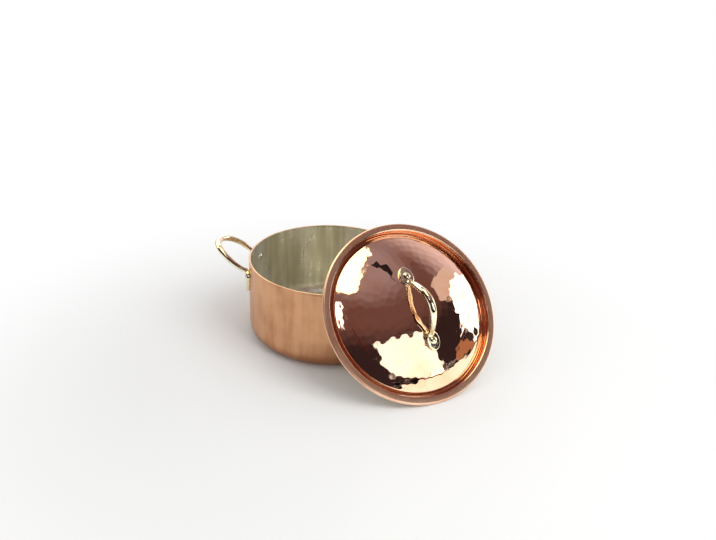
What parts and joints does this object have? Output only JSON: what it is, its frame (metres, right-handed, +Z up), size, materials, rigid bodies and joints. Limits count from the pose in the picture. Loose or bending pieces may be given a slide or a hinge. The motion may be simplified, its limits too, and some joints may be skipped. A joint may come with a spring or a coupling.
{
  "type": "cooking pot",
  "caption": "Round straight-walled copper casserole, tinned inside, with cast brass side handles and a domed hammered lid that leans on its rim.",
  "frame": {"origin": "the pot's axis at the underside of its flat base, on the surface that the pot and the lid stand on", "axes": "+Z up along the pot's axis, +X from the pot's axis towards the right side handle, -Y towards the viewer"},
  "size_m": [0.3417, 0.2669, 0.1561],
  "materials": {
    "copper_brushed": "satin copper, brushed round the wall",
    "copper_hammered": "mirror-polished copper with hammer facets",
    "tin_wiped": "wiped tin with soft smears",
    "brass_cast": "polished cast brass",
    "rivet_copper": "hammered copper rivet, tinned inside the pot",
    "rivet_brass": "polished brass rivet",
    "steel_wire": "plain drawn wire"
  },
  "bodies": {
    "pot": {"pot_body": "copper_brushed", "pot_tin_lining": "tin_wiped", "left_side_handle": "brass_cast", "right_side_handle": "brass_cast", "left_handle_front_rivet": "rivet_copper", "left_handle_back_rivet": "rivet_copper", "right_handle_front_rivet": "rivet_copper", "right_handle_back_rivet": "rivet_copper"},
    "lid": {"lid_body": "copper_hammered", "lid_tin_lining": "tin_wiped", "lid_rim_wire": "steel_wire", "lid_handle": "brass_cast", "lid_handle_lower_rivet": "rivet_brass", "lid_handle_upper_rivet": "rivet_brass"}
  },
  "joints": [
    {"name": "lid_lift", "type": "slide", "parent": "pot", "child": "lid", "axis": [0, 0, 1], "range_m": [0, 0.15]}
  ]
}
